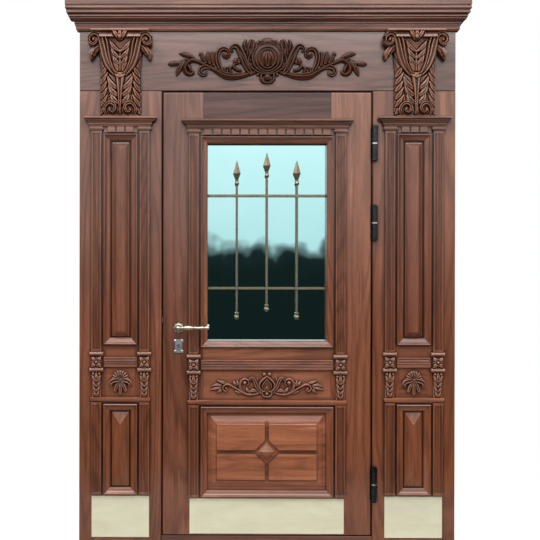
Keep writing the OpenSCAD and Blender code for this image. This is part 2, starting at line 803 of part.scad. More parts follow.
module leaf_hinges() {
  x = leaf_w / 2;
  bore = pin_r + run_clear;
  color(black) at_front() for (z = hinge_levels) {
    difference() {
      union() {
        knuckle(z + 3, z + hinge_h / 2, bore);
        hinge_end(z + hinge_h / 2 - 7, 1);
        box([x - plate_t, hinge_y + pin_r + 3, z + 4], [x, plate_d - 0.2, z + hinge_h / 2 - 9]);
        box([x - plate_t, hinge_y + pin_r + 3, z + 4], [hinge_x, hinge_y + pin_r + 6, z + hinge_h / 2 - 9]);
      }
      translate([hinge_x, hinge_y, z - hinge_h / 2]) cylinder(r = bore, h = hinge_h - 10);
    }
  }
}

module hinge_pins() {
  color(steel) at_front() for (z = hinge_levels)
    translate([hinge_x, hinge_y, z - hinge_h / 2 + 10]) cylinder(r = pin_r, h = hinge_h - 21);
}

module hinge_washers() {
  color(steel) at_front() for (z = hinge_levels) difference() {
    translate([hinge_x, hinge_y, z - 3]) cylinder(r = barrel_r + 0.8, h = 5.9);
    translate([hinge_x, hinge_y, z - 4]) cylinder(r = pin_r + 0.3, h = 8);
  }
}

// Leaf

module stile(x0, x1) {
  box([x0, 0, leaf_z], [x1, leaf_t, leaf_top]);
}

function bar_levels() = [up_z + 0.28 * up_h, up_z + 0.722 * up_h];

module bar_mortise(s) {
  x = s * (leaf_hw - lip);
  half = bar_t / 2 + 0.1;
  for (z = bar_levels()) box([x - 10, glass_y / 2 - half, z - half], [x + 10, glass_y / 2 + half, z + half]);
}

module lock_stile() {
  x = -leaf_w / 2;
  color(wood) at_front() difference() {
    stile(x, -leaf_hw + lip);
    box([x - 1, lock_y - case_t / 2 - fit, case_z0 - fit], [x + case_d + fit, lock_y + case_t / 2 + fit, case_z1 + fit]);
    box([x - 1, lock_y - face_w / 2 - fit / 2, case_z0 - 10], [x + face_t, lock_y + face_w / 2 + fit / 2, case_z1 + 10]);
    translate([handle_x, -1, handle_z]) rotate([-90, 0, 0]) cylinder(r = 8, h = leaf_t + 2);
    translate([handle_x, -1, key_z]) rotate([-90, 0, 0]) cylinder(r = 10.3, h = leaf_t + 2);
    bar_mortise(-1);
    ease_upright(x);
    ease_level(leaf_top);
  }
}

module hinge_stile() {
  x = leaf_w / 2;
  color(wood) at_front() difference() {
    stile(leaf_hw - lip, x);
    for (z = hinge_levels) box([x - plate_t, -1, z + 3], [x + 1, plate_d, z + hinge_h / 2 - 8]);
    bar_mortise(1);
    ease_upright(x);
    ease_level(leaf_top);
  }
}

module leaf_rails() {
  hw = leaf_hw - lip;
  color(wood) at_front() {
    box([-hw, 0, leaf_z], [hw, leaf_t, low_z + lip]);
    box([-hw, 0, low_z + low_h - lip], [hw, leaf_t, up_z + lip]);
    difference() {
      box([-hw, 0, up_z + up_h - lip], [hw, leaf_t, leaf_top]);
      ease_level(leaf_top);
    }
  }
}

module leaf_entablature() {
  color(wood) at_front() entablature(leaf_hw, 0);
}

module leaf_upper_pilasters() {
  color(wood) at_front() upper_pilasters(leaf_hw, 0);
}

module glazing_bead() {
  slot = bar_t / 2 + 0.1;
  color(wood) at_front() difference() {
    panel_frame(leaf_hw, up_z, up_h, glass_y);
    for (z = bar_levels()) box([-leaf_hw, glass_y / 2 - slot, z - slot], [leaf_hw, glass_y / 2 + slot, z + slot]);
  }
}

module glass_unit() {
  hw = leaf_hw - lip - 3;
  hh = up_h / 2 - lip - 3;
  color(glass) at_front() translate([0, 0, up_z + up_h / 2])
    box([-hw, glass_y, -hh], [hw, glass_y + glass_t, hh]);
}

// A forged spear: leaf-shaped head on a ball, square-set collar and a ball foot
module spear(x, foot, tip) {
  y = glass_y / 2;
  neck = tip - spear_head;
  translate([x, y, 0]) {
    translate([0, 0, foot]) cylinder(r = bar_t / 2, h = neck - foot + 2, $fn = 16);
    translate([0, 0, neck]) rotate_extrude($fn = 16) polygon([[0, -26], [6, -26], [8, -23], [10, -16], [8, -9], [6, -6],
      [7.5, -4], [7.5, 0], [0, 0]]);
    translate([0, 0, neck - 1]) scale([1, 0.5, 1]) union() {
      cylinder(r1 = 5, r2 = spear_w / 2, h = spear_head * 0.35, $fn = 4);
      translate([0, 0, spear_head * 0.35]) cylinder(r1 = spear_w / 2, r2 = 0.6, h = spear_head * 0.65 + 1, $fn = 4);
    }
    translate([0, 0, foot]) rotate_extrude($fn = 16) polygon([[0, -12], [5, -11], [9.5, -6], [11, 0], [9.5, 6], [6, 10],
      [6, 13], [8.5, 15], [8.5, 20], [6, 22], [0, 22]]);
  }
}

module grille() {
  hw = leaf_hw - lip + 9.5;
  foot = up_z + 138;
  tip = up_z + up_h - 107;
  color(bronze) at_front() {
    for (z = bar_levels()) box([-hw, glass_y / 2 - bar_t / 2, z - bar_t / 2], [hw, glass_y / 2 + bar_t / 2, z + bar_t / 2]);
    for (s = [-1, 1]) spear(s * spear_pitch, foot, tip);
    spear(0, foot + spear_rise, tip + spear_rise);
  }
}

module leaf_reeded_strip() {
  color(wood) at_front() reeded_strip(leaf_hw, 0);
}

module leaf_blocks() {
  color(wood) at_front() blocks(leaf_hw, 0);
}

module leaf_carving() {
  color(wood) at_front() translate([0, 0, carving_mid])
    carved(leaf_carving_w) scroll_carving(leaf_carving_w, leaf_carving_d);
}

module leaf_waist() {
  color(wood) at_front() waist(leaf_hw, 0);
}

module leaf_lower_pilasters() {
  color(wood) at_front() lower_pilasters(leaf_hw, 0);
}

module leaf_lower_frame() {
  color(wood) at_front() panel_frame(leaf_hw, low_z, low_h, panel_y);
}

module leaf_lower_panel() {
  color(wood) at_front() leaf_panel();
}

module leaf_kick_plate() {
  color(brass) at_front() kick_plate(pilaster_x(leaf_hw) + 18, kick_z, kick_h);
}

module leaf_rear_beads() {
  y = panel_y + panel_t;
  color(wood) at_front() {
    rear_bead(leaf_hw, up_z, up_h, glass_y + glass_t, leaf_t + 4);
    rear_bead(leaf_hw, low_z, low_h, y, y + 16);
  }
}

// Lock and handles

module lock_case() {
  x = -leaf_w / 2;
  wall = 2;
  y0 = lock_y - case_t / 2;
  y1 = lock_y + case_t / 2;
  color(steel) at_front() difference() {
    union() {
      box([x, lock_y - face_w / 2, case_z0 - 9.5], [x + face_t, lock_y + face_w / 2, case_z1 + 9.5]);
      box([x + 1, y0, case_z0], [x + case_d, y1, case_z1]);
    }
    box([x + face_t, y0 + wall, case_z0 + wall], [x + case_d - wall, y1 - wall, case_z1 - wall]);
    box([x - 1, lock_y - bolt_t / 2 - 0.3, latch_z - 10.3], [x + 9, lock_y + bolt_t / 2 + 0.3, latch_z + 10.3]);
    box([x - 1, lock_y - bolt_t / 2 - 0.3, bolt_z - 15.3], [x + 9, lock_y + bolt_t / 2 + 0.3, bolt_z + 15.3]);
    translate([handle_x, 0, handle_z]) rotate([-90, 0, 0]) cylinder(r = 8, h = leaf_t);
    translate([handle_x, 0, key_z]) rotate([-90, 0, 0]) cylinder(r = 10.3, h = leaf_t);
  }
}

// Scalloped rose with a raised ring
module rose() {
  lobes = 8;
  difference() {
    union() {
      linear_extrude(4) {
        circle(21);
        for (i = [0:lobes - 1]) rotate(i * 360 / lobes) translate([19, 0]) circle(6.2);
      }
      rotate_extrude() polygon([[0, 3], [19, 3], [18, 6], [15, 7], [14, 9], [0, 9]]);
    }
    translate([0, 0, -1]) cylinder(r = neck_r + run_clear, h = 12);
  }
}

module handle_roses() {
  color(brass) at_front() {
    translate([handle_x, 0, handle_z]) rotate([90, 0, 0]) rose();
    translate([handle_x, leaf_t, handle_z]) rotate([-90, 0, 0]) rose();
  }
}

// Turned lever along +x with its neck along +z, standing on z = 0
module lever() {
  s = lever_l / 142;
  translate([0, 0, 0.4]) cylinder(r = neck_r, h = lever_reach - 0.4);
  translate([0, 0, lever_reach]) rotate([0, 90, 0]) rotate_extrude() polygon([for (p = [[0, -11], [6, -10], [9.5, -6],
    [10.5, 0], [9.5, 6], [6.5, 11], [6, 16], [8, 19], [8, 22], [6.5, 24], [9, 32], [11, 44], [10, 56], [7, 67], [5.8, 72],
    [8.5, 75], [8.5, 79], [5.8, 82], [5.4, 90], [6.6, 101], [8.4, 110], [6, 117], [5.6, 120], [8, 123], [10, 130],
    [8.5, 137], [5, 141], [0, 142]]) [p[0], p[1] * (p[1] > 0 ? s : 1)]]);
}

module outer_lever() {
  half = 4;
  y = lever_reach;
  color(brass) at_front() {
    translate([handle_x, 0, handle_z]) rotate([90, 0, 0]) lever();
    translate([handle_x, 0, handle_z]) box([-half, -y + 20, -half], [half, leaf_t + 0.3, half]);
  }
}

module inner_lever() {
  color(brass) at_front() translate([handle_x, leaf_t, handle_z]) mirror([0, 0, 1]) rotate([-90, 0, 0]) lever();
}

// Key plate with four bosses
module key_plate(hole) {
  difference() {
    union() {
      linear_extrude(4) {
        square([34, 62], center = true);
        for (sx = [-1, 1]) for (sz = [-1, 1]) translate([sx * 15, sz * 24]) circle(8);
      }
      for (sx = [-1, 1]) for (sz = [-1, 1]) translate([sx * 15, sz * 24, 4])
        rotate_extrude() polygon([[0, 0], [6, 0], [5, 2], [3, 3.4], [0, 4]]);
      cylinder(r = 14.5, h = 7);
    }
    translate([0, 0, -1]) cylinder(r = hole, h = 12);
  }
}

module escutcheons() {
  color(steel) at_front() {
    translate([handle_x, 0, key_z]) rotate([90, 0, 0]) key_plate(10.3);
    translate([handle_x, leaf_t, key_z]) rotate([-90, 0, 0]) key_plate(5 + run_clear);
  }
}

module lock_cylinder() {
  y1 = lock_y - case_t / 2 + 4;
  color(steel) at_front() difference() {
    translate([handle_x, -8, key_z]) rotate([-90, 0, 0]) cylinder(r = 10.2, h = 8 + y1);
    translate([handle_x, -9, key_z]) box([-5, 0, -1], [5, 24, 1]);
  }
}

module thumb_turn() {
  y0 = lock_y + 1;
  color(brass) at_front() translate([handle_x, 0, key_z]) {
    translate([0, y0, 0]) rotate([-90, 0, 0]) cylinder(r = 5, h = leaf_t - y0 + 9);
    translate([0, leaf_t + 7.5, 0]) rotate([-90, 0, 0]) cylinder(r = 9, h = 4);
    box([-3, leaf_t + 10, -14], [3, leaf_t + 26, 14]);
  }
}

// The latch has a bevelled nose on its closing side
module latch_bolt() {
  x = -leaf_w / 2;
  y = lock_y - bolt_t / 2;
  color(steel) at_front() {
    translate([0, 0, latch_z - 10]) linear_extrude(20)
      polygon([[x + 30, y], [x + 30, y + bolt_t], [x - 2, y + bolt_t], [x - latch_travel, y + 2], [x - latch_travel, y]]);
    box([x + 29, lock_y - 2, latch_z - 5], [x + 60, lock_y + 2, latch_z + 5]);
  }
}

module dead_bolt() {
  x = -leaf_w / 2;
  color(steel) at_front() box([x, lock_y - bolt_t / 2, bolt_z - 15], [x + 50, lock_y + bolt_t / 2, bolt_z + 15]);
}

left_outer_post();
left_jamb();
right_jamb();
right_outer_post();
side_rails();
door_stops();
threshold();
head_beams();
frieze_board();
cornice();
cornice_cap();
frieze_carving();
left_capital();
right_capital();
side_entablatures();
side_upper_pilasters();
side_upper_frames();
side_upper_panels();
side_reeded_strips();
side_blocks();
side_shells();
side_waists();
side_lower_pilasters();
side_lower_frames();
side_lower_panels();
side_kick_plates();
side_rear_beads();
frame_seal();
strike_plate();
frame_hinges();
hinge_pins();
hinge_washers();
lock_stile();
hinge_stile();
leaf_rails();
leaf_entablature();
leaf_upper_pilasters();
glazing_bead();
glass_unit();
grille();
leaf_reeded_strip();
leaf_blocks();
leaf_carving();
leaf_waist();
leaf_lower_pilasters();
leaf_lower_frame();
leaf_lower_panel();
leaf_kick_plate();
leaf_rear_beads();
leaf_hinges();
lock_case();
handle_roses();
escutcheons();
lock_cylinder();
outer_lever();
inner_lever();
latch_bolt();
dead_bolt();
thumb_turn();
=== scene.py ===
"""Looks of a carved entrance door set: varnished oak, carved relief, mirror glass, bronze and brass.

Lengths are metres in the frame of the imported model: x to the right, y to the inside, z up.
Carvings are drawn in millimetres over their board and scaled when they become meshes.
"""

import json
import math

import bpy
import numpy as np
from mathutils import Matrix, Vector


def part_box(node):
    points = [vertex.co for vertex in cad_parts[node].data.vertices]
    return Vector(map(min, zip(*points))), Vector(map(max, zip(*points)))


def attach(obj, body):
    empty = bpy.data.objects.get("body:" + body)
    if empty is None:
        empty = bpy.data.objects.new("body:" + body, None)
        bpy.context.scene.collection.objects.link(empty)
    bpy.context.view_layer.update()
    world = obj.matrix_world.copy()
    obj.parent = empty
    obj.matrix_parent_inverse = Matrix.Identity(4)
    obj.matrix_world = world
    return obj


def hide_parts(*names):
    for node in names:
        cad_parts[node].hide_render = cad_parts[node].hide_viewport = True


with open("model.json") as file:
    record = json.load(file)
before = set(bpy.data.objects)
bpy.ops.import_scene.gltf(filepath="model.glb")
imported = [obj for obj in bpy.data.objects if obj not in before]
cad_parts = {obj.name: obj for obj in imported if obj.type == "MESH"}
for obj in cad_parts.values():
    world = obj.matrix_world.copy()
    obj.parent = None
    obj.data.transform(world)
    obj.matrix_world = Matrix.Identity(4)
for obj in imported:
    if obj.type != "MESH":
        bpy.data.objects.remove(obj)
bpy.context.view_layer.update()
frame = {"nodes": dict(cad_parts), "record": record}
nodes = frame["nodes"]
MM = 0.001
BAY = 0.675  # from the middle of the set to that of a side bay
BAY_SPREAD = 0.1105  # from there to the blocks on its pilasters
LEAF_SPREAD = 0.3375  # from the leaf's middle to the blocks on its pilasters
SOFT_EDGE = 0.0012  # rounding of the boards' edges


# Stage: camera, world, floor and lamps

EYE = Vector((-0.25, -5.06, 1.25))
TURN = math.radians(-0.40)
PITCH = math.radians(-0.22)
ROLL = math.radians(0.10)
LENS = 72.3
SHIFT = (0.120, 0.014)
FLOOR_RADIUS = 1.7
FLOOR_LIFT = 0.72  # white that camera rays see on top of the floor's own grey
HORIZON = 0.022
HILLS = 0.025
SKY = [(-0.20, (22, 28, 28)), (0.0, (24, 34, 33)), (HORIZON, (34, 42, 43)),
       (HORIZON + 0.006, (226, 238, 240)), (0.12, (240, 246, 247)), (1.0, (246, 250, 251))]
SKY_POWER = (0.9, 2.2)  # at the horizon and overhead
AMBIENT = (0.27, 0.27, 0.28, 1)
WHITE = (1, 1, 1, 1)


def make_camera():
    """The photograph's view: well back, a little left of the middle, shifted to frame the whole set."""
    data = bpy.data.cameras.new("camera")
    data.lens = LENS
    data.shift_x, data.shift_y = SHIFT
    camera = bpy.data.objects.new("camera", data)
    camera.location = EYE
    camera.rotation_euler = (math.pi / 2 + PITCH, -ROLL, -TURN)
    bpy.context.collection.objects.link(camera)
    bpy.context.scene.camera = camera


def srgb(r, g, b):
    """An 8-bit display colour as the linear colour that shaders take."""
    shares = [c / 255 for c in (r, g, b)]
    return tuple(c / 12.92 if c < 0.041 else ((c + 0.055) / 1.055) ** 2.4 for c in shares) + (1.0,)


def make_world():
    """White behind the object, soft grey light, and in reflections an overcast sky over dark ground."""
    bpy.context.scene.world = bpy.data.worlds.new("world")
    made = Tree(bpy.context.scene.world)
    path = made.nodes.new("ShaderNodeLightPath").outputs
    direction = made.nodes.new("ShaderNodeTexCoord").outputs["Generated"]
    height = made.height(direction)
    hills = made.span(made.noise(direction, scale=38.0), 0, 1, HILLS, -HILLS)
    level = made.span(made.math("ADD", height, hills), -1, 1)
    sky = made.ramp(level, [((z + 1) / 2, colour) for z, colour in SKY])
    sky = made.mix(1.0, sky, made.span(height, 0, 1, *SKY_POWER), "MULTIPLY")
    lit = made.mix(path["Is Glossy Ray"], AMBIENT, sky)
    seen = made.math("MAXIMUM", path["Is Camera Ray"], path["Is Transmission Ray"])
    made.connect(made.mix(seen, lit, WHITE), made.nodes["Background"].inputs["Color"])


def make_mesh(name, points, faces, smooth=True):
    """A mesh object in the frame of the model, linked to the scene."""
    mesh = bpy.data.meshes.new(name)
    mesh.from_pydata([tuple(p) for p in points], [], [tuple(f) for f in faces])
    mesh.update()
    if smooth:
        mesh.shade_smooth()
    made = bpy.data.objects.new(name, mesh)
    bpy.context.collection.objects.link(made)
    return made


def make_floor():
    """A plain round floor: mid grey, so that it puts no haze on the varnish, and paler to the camera."""
    turns = np.linspace(0, 2 * math.pi, 97)[:-1]
    rim = [(FLOOR_RADIUS * math.cos(a), FLOOR_RADIUS * math.sin(a), 0) for a in turns]
    floor = make_mesh("floor", rim, [range(len(rim))], smooth=False)
    paint = Shader("pale_floor")
    path = paint.nodes.new("ShaderNodeLightPath").outputs
    grain = paint.noise(paint.place(), scale=40.0, detail=3.0)
    paint.feed("Base Color", paint.ramp(grain, [(0.3, (152, 151, 148)), (0.7, (160, 159, 156))]))
    paint.feed("Emission Strength", paint.math("MULTIPLY", path["Is Camera Ray"], FLOOR_LIFT))
    paint.numbers(roughness=0.8, emission_color=WHITE)
    floor.data.materials.append(paint.material)


def make_lamp(name, place, aim, size, power, mirrored=False):
    """A soft panel; one that isn't mirrored lights the wood without showing in glass and metal."""
    data = bpy.data.lights.new(name, "AREA")
    data.shape = "RECTANGLE"
    data.size, data.size_y = size
    data.energy = power
    lamp = bpy.data.objects.new(name, data)
    lamp.location = place
    lamp.rotation_euler = (Vector(aim) - Vector(place)).to_track_quat("-Z", "Y").to_euler()
    lamp.visible_glossy = mirrored
    bpy.context.collection.objects.link(lamp)


# Materials


class Tree:
    """Makes the nodes of a material or of the world."""

    def __init__(self, owner):
        owner.use_nodes = True
        self.nodes = owner.node_tree.nodes
        self.links = owner.node_tree.links

    def connect(self, source, socket):
        """Links another node's socket, or sets a constant."""
        if isinstance(source, bpy.types.NodeSocket):
            self.links.new(source, socket)
        else:
            socket.default_value = source

    def height(self, spot):
        """The Z of a vector."""
        made = self.nodes.new("ShaderNodeSeparateXYZ")
        self.connect(spot, made.inputs[0])
        return made.outputs["Z"]

    def place(self, scale=(1, 1, 1), offset=None, spot=None):
        """Object coordinates, or those given, moved by offset and stretched by scale."""
        spot = spot or self.nodes.new("ShaderNodeTexCoord").outputs["Object"]
        if offset is not None:
            move = self.nodes.new("ShaderNodeVectorMath")
            self.connect(spot, move.inputs[0])
            self.connect(offset, move.inputs[1])
            spot = move.outputs[0]
        stretch = self.nodes.new("ShaderNodeMapping")
        self.connect(spot, stretch.inputs["Vector"])
        stretch.inputs["Scale"].default_value = scale
        return stretch.outputs[0]

    def noise(self, spot, scale, detail=2.0, roughness=0.5, distortion=0.0):
        made = self.nodes.new("ShaderNodeTexNoise")
        self.connect(spot, made.inputs["Vector"])
        settings = {"Scale": scale, "Detail": detail, "Roughness": roughness, "Distortion": distortion}
        for key, value in settings.items():
            made.inputs[key].default_value = value
        return made.outputs[0]

    def math(self, operation, a, b=0.0):
        made = self.nodes.new("ShaderNodeMath")
        made.operation = operation
        self.connect(a, made.inputs[0])
        self.connect(b, made.inputs[1])
        return made.outputs[0]

    def total(self, a, a_share, b, b_share):
        """A weighted sum of two values."""
        return self.math("ADD", self.math("MULTIPLY", a, a_share), self.math("MULTIPLY", b, b_share))

    def span(self, value, low, high, to_low=0.0, to_high=1.0):
        """A value carried from one range to another."""
        made = self.nodes.new("ShaderNodeMapRange")
        self.connect(value, made.inputs["Value"])
        for key, number in (("From Min", low), ("From Max", high), ("To Min", to_low), ("To Max", to_high)):
            made.inputs[key].default_value = number
        return made.outputs[0]

    def ramp(self, value, stops):
        """Display colours spread over a value."""
        made = self.nodes.new("ShaderNodeValToRGB")
        self.connect(value, made.inputs["Fac"])
        while len(made.color_ramp.elements) < len(stops):
            made.color_ramp.elements.new(0.5)
        for element, (position, colour) in zip(made.color_ramp.elements, stops):
            element.position = position
            element.color = srgb(*colour)
        return made.outputs["Color"]

    def mix(self, share, a, b, blend="MIX"):
        """Two colours or vectors, with share of the second."""
        made = self.nodes.new("ShaderNodeMix")
        made.data_type = "RGBA"
        made.blend_type = blend
        self.connect(share, made.inputs[0])
        self.connect(a, made.inputs[6])
        self.connect(b, made.inputs[7])
        return made.outputs[2]


FLAT_SLOPE = 0.1  # a face that leans less counts as flat


class Shader(Tree):
    """A material built node by node, ending in its Principled shader."""

    def __init__(self, name):
        self.material = bpy.data.materials.new(name)
        super().__init__(self.material)
        self.surface = self.nodes["Principled BSDF"]

    def feed(self, name, source):
        self.connect(source, self.surface.inputs[name])

    def mitred(self):
        """Object coordinates with X and Z swapped on the level sides of a frame.

        The slope of the moulding tells a level side from an upright one.
        """
        coordinates = self.nodes.new("ShaderNodeTexCoord")
        spot, normal = (self.nodes.new("ShaderNodeSeparateXYZ") for _ in range(2))
        self.connect(coordinates.outputs["Object"], spot.inputs[0])
        self.connect(coordinates.outputs["Normal"], normal.inputs[0])
        swapped = self.nodes.new("ShaderNodeCombineXYZ")
        for source, target in zip("XYZ", "ZYX"):
            self.connect(spot.outputs[source], swapped.inputs[target])
        aside, upward = (self.math("ABSOLUTE", normal.outputs[axis]) for axis in "XZ")
        level = self.math("GREATER_THAN", upward, self.math("ADD", aside, FLAT_SLOPE))
        return self.mix(level, coordinates.outputs["Object"], swapped.outputs[0])

    def recess(self, distance):
        """1 on open faces, towards 0 in narrow corners."""
        made = self.nodes.new("ShaderNodeAmbientOcclusion")
        made.inputs["Distance"].default_value = distance
        made.samples = 6
        return made.outputs["AO"]

    def attribute(self, name):
        made = self.nodes.new("ShaderNodeAttribute")
        made.attribute_name = name
        return made.outputs["Fac"]

    def bump(self, height, strength, distance):
        made = self.nodes.new("ShaderNodeBump")
        made.inputs["Strength"].default_value = strength
        made.inputs["Distance"].default_value = distance
        self.connect(height, made.inputs["Height"])
        self.feed("Normal", made.outputs[0])

    def numbers(self, **values):
        """Constants straight on the shader's sockets, such as coat_weight=0.3."""
        for key, value in values.items():
            self.surface.inputs[key.replace("_", " ").title().replace("Ior", "IOR")].default_value = value


WOOD_STOPS = [(0.28, (82, 43, 27)), (0.43, (110, 63, 42)), (0.56, (127, 75, 52)), (0.72, (157, 100, 73))]
RING_TINT = srgb(92, 52, 38)
PORE_TINT = srgb(58, 30, 21)
PAINTED_CORNER_SHADE = srgb(48, 24, 15)
PAINTED_GROOVE_SHADE = srgb(38, 18, 11)
PAINTED_CREST_HIGHLIGHT = srgb(208, 146, 114)
PAINTED_SKY_SHEEN = (0.92, 1.14, 1.5, 1)  # painted sky sheen, a cool tint of what stands high
PAINTED_SHEEN_LEVELS = (0.9, 2.2)  # heights where it starts and is full
BOARD_SHIFT = 31.0  # how far apart the cuts of two boards may lie in the grain


def wood(name, along, tone=1.0, crest=0.0, gloss=1.0, upper=PAINTED_SKY_SHEEN, corner=0.016, figure=0.32):
    """Satin varnished oak with its grain along X, Z or the sides of a frame.

    upper tints what stands high with a painted sky sheen, corner is the reach of the painted shade in
    corners, figure the strength of the growth rings. Carved wood gets painted shade in its grooves and,
    by crest, a painted highlight on its crests.
    """
    made = Shader(name)
    spot = made.mitred() if along == "frame" else None
    info = made.nodes.new("ShaderNodeObjectInfo").outputs
    board = made.math("MULTIPLY", info["Random"], BOARD_SHIFT)

    def grain(stretch, **settings):
        """Noise drawn out along the grain, from another place for each board."""
        slow = (stretch, 1, 1) if along == "X" else (1, 1, stretch)
        return made.noise(made.place(slow, board, spot), **settings)

    bands = grain(0.05, scale=34.0, detail=6.0, roughness=0.62, distortion=0.5)
    broad = grain(0.25, scale=6.0, detail=3.0)
    field = grain(0.13, scale=3.6, detail=1.5, roughness=0.4, distortion=0.3)
    pores = grain(0.03, scale=620.0, detail=2.0, roughness=0.6)
    rings = made.math("SINE", made.total(field, 120.0, bands, 9.0))
    colour = made.ramp(made.total(bands, 0.6, broad, 0.4), WOOD_STOPS)
    colour = made.mix(made.span(rings, 0.0, 1.0, 0.0, figure), colour, RING_TINT, "MULTIPLY")
    colour = made.mix(made.span(pores, 0.55, 0.72, 0.0, 0.55), colour, PORE_TINT)
    # painted sky sheen: what stands high is tinted by the upper colour
    colour = made.mix(made.span(made.height(made.place()), *PAINTED_SHEEN_LEVELS), colour, upper, "MULTIPLY")
    # each board's own tone, on the frieze board a painted sky sheen
    colour = made.mix(1.0, colour, info["Color"], "MULTIPLY")
    # painted shade: darker towards narrow corners, from ambient occlusion
    shade = made.span(made.recess(corner), 0.35, 0.96, 0.9, 0.0)
    colour = made.mix(shade, colour, PAINTED_CORNER_SHADE, "MULTIPLY")
    # painted shade in the grooves of carvings, from their cavity
    carved = made.attribute("cavity")
    colour = made.mix(made.span(carved, 0.08, 0.75, 0.0, 0.9), colour, PAINTED_GROOVE_SHADE)
    # painted highlight on the crests of carvings
    if crest:
        colour = made.mix(made.span(carved, -0.15, -0.85, 0.0, crest), colour, PAINTED_CREST_HIGHLIGHT)
    made.feed("Base Color", made.mix(1.0, colour, (tone, tone, tone, 1), "MULTIPLY"))
    made.feed("Roughness", made.span(bands, 0.3, 0.7, 0.50, 0.40))
    made.bump(made.total(pores, -0.6, rings, 0.12), strength=0.22, distance=0.0012)
    made.numbers(specular_ior_level=0.1, coat_weight=gloss, coat_roughness=0.18, coat_ior=1.7)
    return made.material


def brushed(name, light, dark, roughness, along="X", metallic=1.0):
    """Metal with fine brushing along an axis and slow cloudy tarnish."""
    made = Shader(name)
    slow = {"X": (0.02, 1, 1), "Z": (1, 1, 0.02)}[along]
    hair = made.noise(made.place(slow), scale=900.0, detail=3.0, roughness=0.7)
    cloud = made.noise(made.place((0.5, 1, 1.6)), scale=9.0, detail=4.0, roughness=0.6, distortion=0.4)
    share = made.total(hair, 0.35, cloud, 0.65)
    made.feed("Base Color", made.ramp(share, [(0.32, dark), (0.58, light)]))
    made.feed("Roughness", made.span(hair, 0.3, 0.7, roughness - 0.07, roughness + 0.07))
    made.bump(hair, strength=0.08, distance=0.0004)
    made.numbers(metallic=metallic)
    return made.material


def patina(name, light, dark, roughness, metallic=0.9, corner=0.012):
    """Cast metal: cloudy patina, bright where handled, dark in corners."""
    made = Shader(name)
    cloud = made.noise(made.place(), scale=60.0, detail=5.0, roughness=0.65, distortion=0.6)
    handled = made.span(made.recess(corner), 0.3, 1.0)
    share = made.math("MULTIPLY", handled, made.span(cloud, 0.2, 0.8, 0.35, 1.0))
    made.feed("Base Color", made.ramp(share, [(0.15, dark), (0.75, light)]))
    made.feed("Roughness", made.span(cloud, 0.3, 0.7, roughness + 0.1, roughness - 0.06))
    made.bump(made.noise(made.place(), scale=420.0, detail=3.0), strength=0.12, distance=0.0005)
    made.numbers(metallic=metallic)
    return made.material


def mirror_glass():
    """Solar control glass that mirrors the sky, with a faint waviness."""
    made = Shader("mirror_glass")
    wave = made.noise(made.place(), scale=3.0, detail=1.0)
    made.feed("Base Color", made.ramp(wave, [(0.3, (206, 252, 252)), (0.7, (214, 255, 255))]))
    made.bump(wave, strength=0.02, distance=0.004)
    made.numbers(metallic=1.0, roughness=0.015)
    return made.material


def rubber():
    """Matt black rubber of the seal."""
    made = Shader("seal_rubber")
    cloud = made.noise(made.place(), scale=300.0, detail=3.0)
    made.feed("Base Color", made.ramp(cloud, [(0.3, (22, 22, 22)), (0.7, (34, 34, 34))]))
    made.numbers(roughness=0.75)
    return made.material


# Carved relief


def smooth_line(points, count):
    """Evenly timed points on a Catmull-Rom curve through the given ones."""
    p = np.array(points, float)
    p = np.vstack([2 * p[0] - p[1], p, 2 * p[-1] - p[-2]])
    t = np.linspace(0, len(points) - 1, count)
    k = np.minimum(t.astype(int), len(points) - 2)
    u = (t - k)[:, None]
    a, b, c, d = p[k], p[k + 1], p[k + 2], p[k + 3]
    return 0.5 * (2 * b + (c - a) * u + (2 * a - 5 * b + 4 * c - d) * u**2 + (3 * b - a - 3 * c + d) * u**3)


def spread(values, count):
    """A few values spread evenly over count places."""
    return np.interp(np.linspace(0, 1, count), np.linspace(0, 1, len(values)), values)


# share of a stroke's height, q from 0 on its spine to 1 at its edge
SECTIONS = {
    "round": lambda q: 0.42 + 0.58 * np.sqrt(1 - q**2),
    "keel": lambda q: 0.44 + 0.56 * (1 - q) ** 1.2,
    "channel": lambda q: 0.56 + 0.44 * np.sin(np.pi * q**1.25),
    "leaf": lambda q: 0.40 + 0.60 * np.sqrt(1 - q**2) - 0.30 * np.exp(-((q / 0.18) ** 2)),
}


